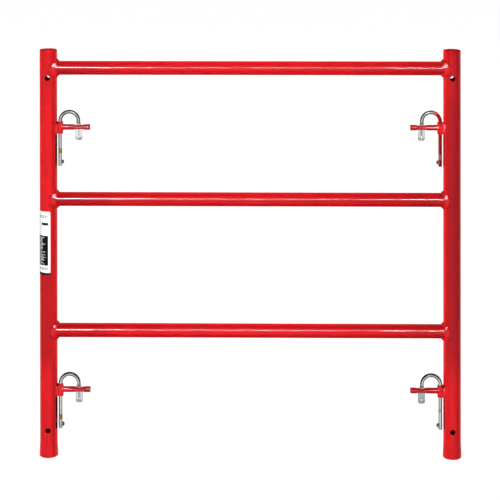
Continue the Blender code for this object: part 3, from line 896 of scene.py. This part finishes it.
def zinc(name, axis, side, stain, tab_tone, stud_shadow_strength, one_sided, overspray):
    """Zinc plate gone grey in places, painted shade at its edges above the sleeve, a rusty stain on its
    long leg.

    axis is where the stud's axis meets the long leg's, and side is 1 if the tab lies at +X of it.
    stain is the stain's height and strength. tab_tone and stud_shadow_strength say how light the tab is
    and how strong the painted shadow of the stud is, a grey band down the tab; the tab's foot gets painted
    shade too. The painted edge shade may be one-sided, on the outside of the bend, and then reddish as a
    painted reflection of the red posts. Overspray covers the long leg and the nearer half of the bend
    with thin red paint, with painted shade making it darker towards +X across the leg.
    """
    look = new_look(name)
    stain_height, stain_strength = stain
    clouds = look.noise(0.009, (1, 1, 3), detail=2.0, seed=stain_height)
    colour = look.mix(look.reach(clouds, 0.35, 0.65), GREY_ZINC, BRIGHT_ZINC)
    drawn = look.noise(0.0012, (1, 1, 12), detail=2.0, seed=1.0)
    colour = look.mix(look.reach(drawn, 0.45, 0.75, 0.0, 0.15), colour, DRAWN_ZINC)
    roughness = look.reach(clouds, 0.3, 0.7, 0.12, 0.24)

    # Painted shade along the rod's edges above the sleeve: if one-sided, on the outside of the bend and
    # reddish as a painted reflection of the red posts; else brown where the rod turns away from view.
    if one_sided:
        aside = look.minus(look.x, axis.x + side * BEND_RADIUS)
        above = look.largest(look.minus(look.z, axis.z + BEND_HEIGHT), 0.0)
        from_centre = look.far(aside, above)
        edge_shade = look.reach(from_centre, BEND_RADIUS + 0.15 * ROD_RADIUS, BEND_RADIUS + 0.55 * ROD_RADIUS)
        edge_shade_colour = EDGE_SHADE_RED
    else:
        weight = look.nodes.new("ShaderNodeLayerWeight")
        edge_shade = look.reach(weight.outputs["Facing"], 0.03, 0.16)
        edge_shade_colour = EDGE_SHADE_BROWN
    edge_shade = look.times(edge_shade, look.reach(look.z, axis.z + 0.008, axis.z + 0.014))
    colour = look.mix(edge_shade, colour, edge_shade_colour)

    from_leg = look.size_of(look.minus(look.x, axis.x))
    on_leg = look.reach(from_leg, 0.012, 0.008)
    off_leg = look.minus(1.0, on_leg)
    tab_end = axis.z - TAB_DEPTH
    # painted shade at the foot of the tab, mixed in patchily below
    foot_shade = look.times(look.reach(look.z, tab_end + 0.011, tab_end + 0.003), off_leg)
    # painted shadow of the stud: a grey band down the tab's upper part
    middle = look.size_of(look.minus(from_leg, TAB_X))
    middle = look.reach(middle, 0.0042, 0.0012)
    middle = look.times(middle, look.reach(look.z, tab_end + 0.010, tab_end + 0.016))
    tab_colour = look.mix(look.times(middle, stud_shadow_strength), tab_tone, STUD_SHADOW_GREY)
    colour = look.mix(look.times(look.reach(look.z, axis.z + 0.004, axis.z), off_leg), colour, tab_colour)
    colour = look.mix(look.times(foot_shade, look.reach(clouds, 0.3, 0.6, 0.3, 0.8)), colour, FOOT_SHADE_GREY)

    near = look.size_of(look.minus(look.z, stain_height))
    patch = look.times(look.reach(near, 0.009, 0.003), on_leg)
    ragged = look.reach(look.noise(0.005, (1, 1, 2), detail=4.0, seed=13.0), 0.28, 0.46)
    stained = look.times(patch, ragged, stain_strength)
    gold = look.reach(look.noise(0.0035, detail=2.0, seed=19.0), 0.40, 0.60)
    gold = look.mix(gold, GOLD_STAIN, BROWN_STAIN)
    colour = look.mix(stained, colour, gold)
    metallic = look.minus(1.0, look.times(stained, 0.8))
    roughness = look.add(roughness, look.times(stained, 0.25))
    shine = 0.5
    if overspray:
        covered = look.reach(from_leg, BEND_RADIUS * 0.95, BEND_RADIUS * 0.55)
        patchy = look.reach(look.noise(0.006, (1, 1, 3), detail=3.0, seed=29.0), 0.30, 0.48)
        patchy = look.largest(patchy, look.reach(from_leg, BEND_RADIUS * 0.8, BEND_RADIUS * 0.3))
        spray = look.times(covered, patchy)
        spray = look.math("SUBTRACT", spray, look.times(stained, 0.6), clamp=True)
        # painted shade: the overspray gets darker across the leg towards +X
        outer = look.over(look.minus(look.x, axis.x), ROD_RADIUS)
        thin = look.mix(look.reach(outer, -0.6, 0.7), OVERSPRAY, SHADED_OVERSPRAY)
        colour = look.mix(spray, colour, thin)
        metallic = look.times(metallic, look.minus(1.0, spray))
        shine = look.lerp(spray, shine, 0.12)
    normal = look.bump(drawn, 0.00001)
    normal = look.bump(clouds, 0.00006, normal)
    return look.finish(colour, roughness, metallic, normal, shine)


def stop_steel():
    """Spatter-dark weld metal with bright high spots."""
    look = new_look("stop_steel")
    spots = look.noise(0.0026, detail=2.0, seed=6.0)
    colour = look.mix(look.reach(spots, 0.35, 0.62), DARK_SPATTER, BRIGHT_SPATTER)
    normal = look.bump(spots, 0.00015)
    return look.finish(colour, look.reach(spots, 0.3, 0.7, 0.5, 0.25), 1.0, normal)


def label_print():
    """White vinyl with plain bars and blocks: no words and no signs."""
    look = new_look("label_print")
    low, high = LABEL_BOX[0].z, LABEL_BOX[1].z
    up = look.over(look.minus(look.z, low), high - low)
    turn = look.math("ARCTAN2", look.times(look.y, -1.0), look.times(look.add(look.x, POST_X), -1.0))
    around = look.over(look.size_of(turn), math.radians(90))
    printed = look.math("LESS_THAN", around, 1.04)
    soft = 0.004

    def between(value, start, end):
        rise = look.reach(value, start - soft, start + soft)
        return look.times(rise, look.reach(value, end + soft, end - soft))

    def rows(pitch, thickness, shortest, longest, seed):
        """Bars of uneven length, one above the other, that start at the label's outer side."""
        row = look.math("FLOOR", look.over(up, pitch))
        inside_row = look.math("FRACT", look.over(up, pitch))
        chance = look.nodes.new("ShaderNodeTexWhiteNoise")
        chance.noise_dimensions = "1D"
        look.feed(chance.inputs["W"], look.add(row, seed))
        bar = look.math("LESS_THAN", around, look.lerp(chance.outputs["Value"], shortest, longest))
        return look.times(bar, look.math("LESS_THAN", inside_row, thickness))

    colour = look.mix(look.times(look.noise(0.02, detail=3.0), 0.10), VINYL, SOILED_VINYL)
    panel = look.times(between(up, 0.63, 0.84), printed)
    colour = look.mix(look.times(panel, 0.25), colour, PANEL_TINT)
    border = look.times(between(around, 1.04, 1.075), between(up, 0.62, 0.84))
    colour = look.mix(look.times(border, 0.6), colour, BORDER_TINT)
    heading = look.times(between(up, 0.785, 0.825), between(around, 0.55, 1.04))
    colour = look.mix(heading, colour, INK)
    block = look.times(between(up, 0.15, 0.62), printed)
    colour = look.mix(block, colour, INK)
    bars = look.times(block, between(up, 0.17, 0.60), rows(0.021, 0.55, 0.50, 0.90, 2.0))
    colour = look.mix(look.times(bars, look.reach(look.noise(0.004), 0.3, 0.5)), colour, PALE_INK)
    for start, end in ((0.075, 0.125), (0.895, 0.945)):
        band = look.times(between(up, start, end), printed)
        dashes = look.math("GREATER_THAN", look.math("FRACT", look.times(around, 6.5)), 0.40)
        colour = look.mix(look.times(band, dashes), colour, GREY_INK)
    colour = look.mix(look.reach(up, 0.040, 0.032), colour, INK)
    normal = look.bump(look.noise(0.012, detail=2.0, seed=8.0), 0.00012)
    return look.finish(colour, look.cloudy(0.28, 0.42, 0.01), 0.0, normal, 0.05)


# ---------------------------------------------------------------- pieces

def build_welded_frame():
    weld = weld_paint()
    for name, side in (("left", -1), ("right", 1)):
        place = Matrix.Translation((side * POST_X, 0, 0))
        add_piece(f"{name}_post", post(), post_paint(side), place)
    drips = {"top_rail": (-0.346, 0.273)}
    for index, name in enumerate(("top_rail", "middle_rail", "bottom_rail")):
        height = middle_of(name).z
        place = Matrix.Translation((0, 0, height))
        add_piece(name, rail(drips.get(name, ())), rail_paint(name, height), place)
        for side, turn in (("left", 0.0), ("right", math.pi)):
            x = POST_X if side == "right" else -POST_X
            joint = Matrix.Translation((x, 0, height)) @ Matrix.Rotation(turn, 4, "Z")
            ring = saddle_weld(POST_RADIUS, RAIL_RADIUS, RAIL_WELD_LEG, 144, index + turn)
            add_piece(f"{name}_weld_{side}", ring, weld, joint)
    add_piece("label", label(), label_print(), Matrix.Translation((-POST_X, 0, 0)))


def build_locks():
    weld, guide, brace, steel = weld_paint("stud_weld_enamel"), sleeve_paint(), stud_paint(), stop_steel()
    bead = sleeve_weld_paint()
    # The stain, the tab's tone and the strength of the stud's painted shadow on it, one-sided painted edge
    # shade, and overspray of each hook.
    finishes = {
        "upper_left": ((0.774, 1.0), (0.96, 0.98, 0.98), 0.30, False, False),
        "upper_right": ((0.760, 0.7), (0.76, 0.78, 0.80), 0.60, False, True),
        "lower_left": ((0.098, 1.0), (0.78, 0.80, 0.84), 0.50, True, False),
        "lower_right": ((0.118, 0.5), (0.46, 0.50, 0.55), 0.0, True, False),
    }
    for seed, (name, finish) in enumerate(finishes.items()):
        centre = middle_of(f"{name}_sleeve")
        axis = Vector((centre.x, centre.y, middle_of(f"{name}_stud").z))
        right = name.endswith("right")
        facing = Matrix.Rotation(math.pi if right else 0.0, 4, "Z")
        guide_place = Matrix.Translation(centre) @ facing
        place = Matrix.Translation(axis) @ facing
        mirror = guide_place @ Matrix.Diagonal((1, -1, 1, 1))
        front, back = (mirror, guide_place) if right else (guide_place, mirror)
        add_piece(f"{name}_sleeve", sleeve(seed), guide, guide_place)
        add_piece(f"{name}_sleeve_weld_front", sleeve_weld(seed), bead, front)
        add_piece(f"{name}_sleeve_weld_back", sleeve_weld(seed + 0.5), bead, back)
        add_piece(f"{name}_stud", stud(seed), brace, place)
        ring = saddle_weld(SLEEVE_RADIUS, STUD_RADIUS, STUD_WELD_LEG, 96, seed)
        add_piece(f"{name}_stud_weld", ring, weld, place)
        plating = zinc(f"{name}_zinc", axis, -1 if right else 1, *finish)
        add_piece(f"{name}_hook", hook(seed), plating, place)
        add_piece(f"{name}_hook_stop", hook_stop(seed), steel, place)


# ---------------------------------------------------------------- studio

LIT_POINT = (0, 0, 0.5)  # where every light is aimed
CAMERA_PLACE = (0.0631, -4.4911, 1.8362)
CAMERA_TURN = [math.radians(angle) for angle in (90 - 0.288, 0.056, 0.789)]
CAMERA_SENSOR, CAMERA_LENS = 36, 127.79  # in millimetres
CAMERA_SHIFT = -1.0196  # of the lens, in widths of the sensor
FLOOR_GLOW = 1.08  # how bright the camera sees most of the floor
SKY = 0.22  # how bright the sky is
# How bright the sky and the floor look in reflections, by how far back they look (-1 is the front).
MIRRORED_SKY = [(-1, 0.40), (-0.9, 0.26), (-0.4, 0.08), (0, 0.12), (1, 0.15)]
MIRRORED_FLOOR = [(-1, 0.90), (-0.9, 0.84), (-0.5, 0.50), (0, 0.40), (0.5, 0.50), (1, 0.60)]


def add_camera():
    """A camera that looks almost straight ahead and shifts its lens down to the frame.

    The shift holds only at the camera's own place, so that other views stay centred.
    """
    data = bpy.data.cameras.new("camera")
    ob = add_object("camera", data)
    ob.location = CAMERA_PLACE
    ob.rotation_euler = CAMERA_TURN
    data.sensor_width = CAMERA_SENSOR
    data.lens = CAMERA_LENS
    driver = data.driver_add("shift_y").driver
    driver.type = "SCRIPTED"
    for name, axis in (("y", 1), ("z", 2)):
        variable = driver.variables.new()
        variable.name = name
        variable.type = "SINGLE_PROP"
        variable.targets[0].id = ob
        variable.targets[0].data_path = f"location[{axis}]"
    away = f"abs(y - {CAMERA_PLACE[1]}) + abs(z - {CAMERA_PLACE[2]})"
    driver.expression = f"{CAMERA_SHIFT} if {away} < 0.001 else 0"
    bpy.context.scene.camera = ob


def add_floor():
    """A pale floor that stays even in front of the camera and has its own look in reflections."""
    bm = bmesh.new()
    bmesh.ops.create_grid(bm, x_segments=1, y_segments=1, size=30)
    mesh = finished_mesh("floor", bm)
    ob = add_object("floor", mesh)
    ob.location.z = CAD_BOX[0][2] - 0.0003
    look = new_look("floor_paper")
    mesh.materials.append(look.owner)
    rays = look.nodes.new("ShaderNodeLightPath")
    heading = look.nodes.new("ShaderNodeSeparateXYZ")
    look.links.new(look.nodes.new("ShaderNodeNewGeometry").outputs["Incoming"], heading.inputs[0])
    mirrored = look.curve(look.times(heading.outputs["Y"], -1.0), MIRRORED_FLOOR)
    mirrored = look.times(mirrored, look.reach(heading.outputs["Z"], 0.42, 0.80, 1.0, 0.12))
    paper = look.nodes.new("ShaderNodeBsdfDiffuse")
    grain = look.cloudy(0.90, 0.93, 0.6, detail=2.0)
    look.links.new(look.mix(grain, (0, 0, 0), (1, 1, 1)), paper.inputs["Color"])
    glow = look.nodes.new("ShaderNodeEmission")
    look.links.new(look.lerp(rays.outputs["Is Glossy Ray"], FLOOR_GLOW, mirrored), glow.inputs["Strength"])
    both = look.nodes.new("ShaderNodeMixShader")
    share = look.add(look.times(rays.outputs["Is Camera Ray"], 0.9), rays.outputs["Is Glossy Ray"])
    look.links.new(share, both.inputs[0])
    look.links.new(paper.outputs[0], both.inputs[1])
    look.links.new(glow.outputs[0], both.inputs[2])
    look.links.new(both.outputs[0], look.nodes["Material Output"].inputs["Surface"])


def add_world():
    """White where the camera sees it, and otherwise a soft grey sky."""
    world = bpy.data.worlds.new("studio")
    bpy.context.scene.world = world
    look = Look(world, "Generated")
    rays = look.nodes.new("ShaderNodeLightPath")
    level = look.lerp(rays.outputs["Is Glossy Ray"], SKY, look.curve(look.y, MIRRORED_SKY))
    level = look.lerp(rays.outputs["Is Camera Ray"], level, 1.0)
    sky = look.nodes["Background"]
    sky.inputs["Color"].default_value = (1, 1, 1, 1)
    look.links.new(level, sky.inputs["Strength"])


def add_softbox(name, place, wide, high, radiance, flags=None):
    """A soft light aimed at the frame. flags holds the pieces it keeps off or is kept to."""
    data = bpy.data.lights.new(name, "AREA")
    data.shape = "RECTANGLE"
    data.size = wide
    data.size_y = high
    data.energy = radiance * math.pi * wide * high
    ob = add_object(name, data)
    ob.location = place
    ob.rotation_euler = (Vector(LIT_POINT) - Vector(place)).to_track_quat("-Z", "Y").to_euler()
    ob.light_linking.receiver_collection = flags
    return ob


def add_glint(*settings):
    """A soft light that only shows as a highlight on what is glossy."""
    add_softbox(*settings).visible_diffuse = False


def flag(name, pieces, state):
    """A list of pieces that a light reaches only (INCLUDE) or never reaches (EXCLUDE)."""
    group = bpy.data.collections.new(name)
    for piece in pieces:
        group.objects.link(piece)
    for entry in group.collection_objects:
        entry.light_linking.link_state = state
    return group


def add_studio():
    add_camera()
    add_floor()
    add_world()
    bare = [ob for ob in bpy.data.objects if ob.name.endswith(("_hook_fine", "_hook_stop_fine"))]
    keep_off = flag("keep_off_bare_metal", bare, "EXCLUDE")
    only = flag("only_bare_metal", bare, "INCLUDE")
    add_softbox("left_box", (-1.12, -4.5, 2.3), 1.1, 0.30, 128, keep_off)
    add_softbox("right_box", (1.20, -4.5, 2.3), 1.1, 0.30, 66, keep_off)
    add_softbox("centre_strip", (0.06, -4.5, 2.3), 1.3, 0.22, 24, keep_off)
    add_softbox("metal_box", (0.0, -4.5, 2.3), 2.0, 0.5, 6, only)
    add_glint("left_glint", (-1.21, -4.5, 2.3), 0.92, 0.15, 500, keep_off)
    add_glint("centre_glint", (-0.13, -4.5, 2.3), 1.24, 0.15, 190, keep_off)
    add_glint("right_glint", (1.15, -4.5, 2.32), 1.1, 0.15, 420, keep_off)
    add_glint("far_left_glint", (-2.6, -4.2, 2.1), 1.6, 0.8, 60, keep_off)
    add_glint("far_right_glint", (2.6, -4.2, 2.1), 1.6, 0.8, 60, keep_off)
    add_softbox("overhead", (0, -0.8, 4.0), 3.0, 3.0, 0.9).visible_glossy = False
    add_softbox("back_fill", (0, 5.0, 3.0), 4.0, 2.0, 6).visible_glossy = False
    bpy.context.scene.view_settings.view_transform = "Standard"


build_welded_frame()
build_locks()
add_studio()
